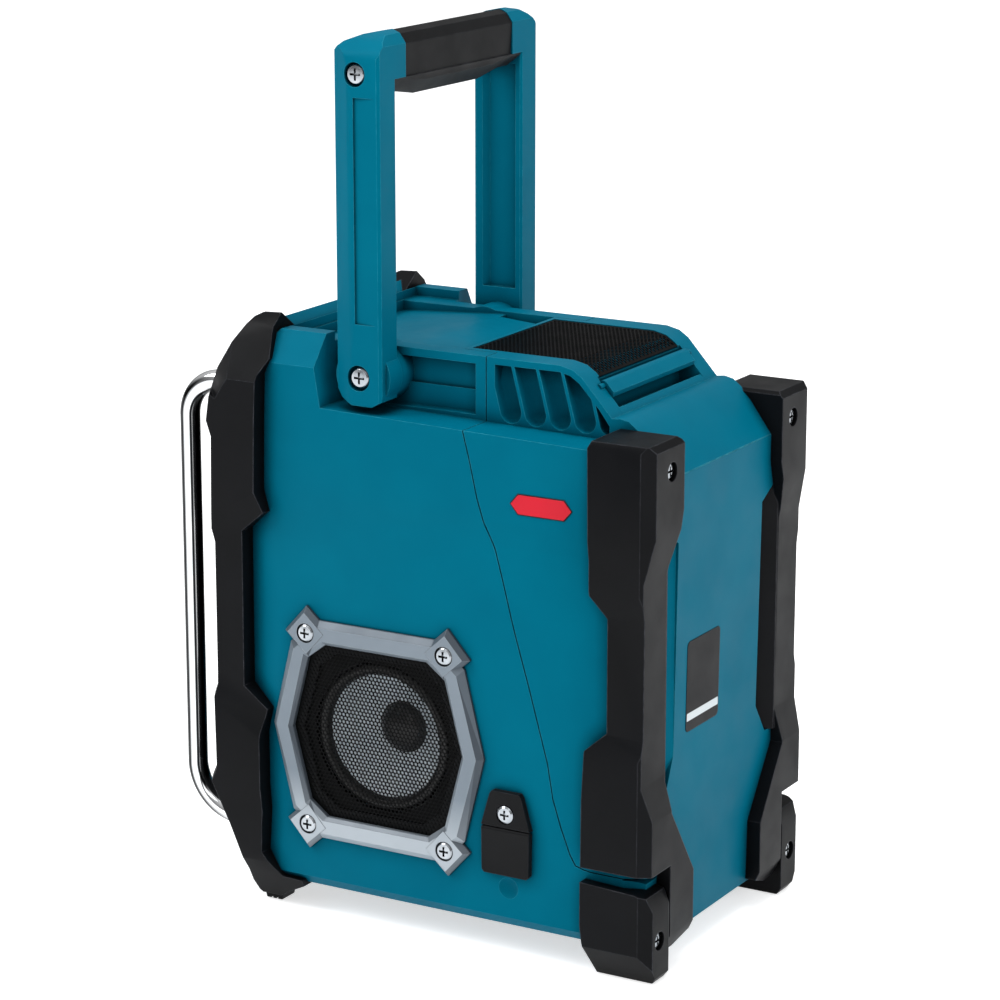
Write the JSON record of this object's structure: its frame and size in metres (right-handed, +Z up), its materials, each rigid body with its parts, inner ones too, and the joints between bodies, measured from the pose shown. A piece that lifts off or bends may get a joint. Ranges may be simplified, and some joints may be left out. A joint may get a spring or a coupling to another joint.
{
  "type": "jobsite radio",
  "caption": "Portable jobsite radio with side speakers, fold-down carrying handle, rear battery door, corner bumpers, guard bars and a front control panel.",
  "frame": {"origin": "on the floor under the middle of the radio, guard bars and rear bumpers included", "axes": "+Z up, +Y to the rear battery door, -Y to the front controls, +X to the speaker side with the DC socket"},
  "size_m": [0.167, 0.271, 0.4362],
  "materials": {
    "teal_shell": "satin moulded plastic",
    "black_plastic": "satin moulded plastic",
    "button_plastic": "satin moulded plastic",
    "black_rubber": "soft matt rubber",
    "silver_bezel": "silver-grey painted plastic",
    "grille_black": "fine black mesh",
    "cone_silver": "silver-grey coated cone",
    "chrome_bar": "polished chrome plate",
    "screw_metal": "bright zinc-plated steel",
    "plain_steel": "turned steel",
    "board_green": "lacquered circuit board",
    "contact_brass": "sprung contact strip",
    "lens": "clear display window",
    "display_grey": "unlit liquid-crystal display"
  },
  "bodies": {
    "housing": {"main_housing": "teal_shell", "front_panel": "black_plastic", "display_lens": "lens", "display_module": "display_grey", "control_board": "board_green", "amplifier_board": "board_green", "battery_terminal_block": "black_plastic", "battery_contacts": "contact_brass", "volume_encoder": "plain_steel", "speaker_basket_left": "black_plastic", "speaker_basket_right": "black_plastic", "speaker_magnet_left": "plain_steel", "speaker_magnet_right": "plain_steel", "speaker_cone_left": "cone_silver", "speaker_cone_right": "cone_silver", "speaker_grille_left": "grille_black", "speaker_grille_right": "grille_black", "speaker_bezel_left": "silver_bezel", "speaker_bezel_right": "silver_bezel", "bezel_screws": "screw_metal", "front_bumper_left": "black_plastic", "front_bumper_right": "black_plastic", "guard_bar_left": "chrome_bar", "guard_bar_right": "chrome_bar", "hinge_foot_left": "black_plastic", "hinge_foot_right": "black_plastic", "foot_screws": "screw_metal", "front_foot_pads": "black_rubber", "hinge_pins": "plain_steel", "handle_pivot_pins": "screw_metal", "dc_socket": "black_plastic", "dc_cover_strap": "black_rubber", "dc_cover_screw": "screw_metal"},
    "handle": {"handle_arm_left": "teal_shell", "handle_arm_right": "teal_shell", "handle_core": "plain_steel", "handle_grip": "black_rubber", "handle_screws": "screw_metal"},
    "battery_door": {"battery_door": "teal_shell", "door_top_frame": "teal_shell", "top_mesh": "grille_black", "rear_bumper_left": "black_plastic", "rear_bumper_right": "black_plastic", "rear_bumper_screws": "screw_metal", "latch_pins": "plain_steel"},
    "door_latch": {"door_latch": "teal_shell"},
    "volume_knob": {"volume_knob": "black_plastic"},
    "dc_cover_flap": {"dc_cover_flap": "black_rubber"},
    "button_power": {"button_power": "button_plastic"},
    "button_source": {"button_source": "button_plastic"},
    "button_down": {"button_down": "button_plastic"},
    "button_up": {"button_up": "button_plastic"},
    "button_preset_1": {"button_preset_1": "button_plastic"},
    "button_preset_2": {"button_preset_2": "button_plastic"},
    "button_preset_3": {"button_preset_3": "button_plastic"},
    "button_preset_4": {"button_preset_4": "button_plastic"}
  },
  "joints": [
    {"name": "handle_fold", "type": "hinge", "parent": "housing", "child": "handle", "pos_m": [0, -0.0263, 0.2735], "axis": [-1, 0, 0], "range_deg": [0, 90]},
    {"name": "door_swing", "type": "hinge", "parent": "housing", "child": "battery_door", "pos_m": [0, 0.118, 0.02], "axis": [-1, 0, 0], "range_deg": [0, 90]},
    {"name": "latch_turn", "type": "hinge", "parent": "battery_door", "child": "door_latch", "pos_m": [0, 0.0873, 0.2763], "axis": [1, 0, 0], "range_deg": [0, 15], "stiffness_Nm_per_rad": 0.02, "springref_deg": -17.19},
    {"name": "knob_turn", "type": "hinge", "parent": "housing", "child": "volume_knob", "pos_m": [0, -0.115, 0.162], "axis": [0, 1, 0], "continuous": true},
    {"name": "dc_flap_lift", "type": "hinge", "parent": "housing", "child": "dc_cover_flap", "pos_m": [0.0783, 0.0566, 0.0634], "axis": [0, -1, 0], "range_deg": [0, 95], "stiffness_Nm_per_rad": 0.001},
    {"name": "press_power", "type": "slide", "parent": "housing", "child": "button_power", "axis": [0, 1, 0], "range_m": [0, 0.0012], "stiffness_N_per_m": 400, "springref_m": -0.001},
    {"name": "press_source", "type": "slide", "parent": "housing", "child": "button_source", "axis": [0, 1, 0], "range_m": [0, 0.0012], "stiffness_N_per_m": 400, "springref_m": -0.001},
    {"name": "press_down", "type": "slide", "parent": "housing", "child": "button_down", "axis": [0, 1, 0], "range_m": [0, 0.0012], "stiffness_N_per_m": 400, "springref_m": -0.001},
    {"name": "press_up", "type": "slide", "parent": "housing", "child": "button_up", "axis": [0, 1, 0], "range_m": [0, 0.0012], "stiffness_N_per_m": 400, "springref_m": -0.001},
    {"name": "press_preset_1", "type": "slide", "parent": "housing", "child": "button_preset_1", "axis": [0, 1, 0], "range_m": [0, 0.0012], "stiffness_N_per_m": 400, "springref_m": -0.001},
    {"name": "press_preset_2", "type": "slide", "parent": "housing", "child": "button_preset_2", "axis": [0, 1, 0], "range_m": [0, 0.0012], "stiffness_N_per_m": 400, "springref_m": -0.001},
    {"name": "press_preset_3", "type": "slide", "parent": "housing", "child": "button_preset_3", "axis": [0, 1, 0], "range_m": [0, 0.0012], "stiffness_N_per_m": 400, "springref_m": -0.001},
    {"name": "press_preset_4", "type": "slide", "parent": "housing", "child": "button_preset_4", "axis": [0, 1, 0], "range_m": [0, 0.0012], "stiffness_N_per_m": 400, "springref_m": -0.001}
  ]
}
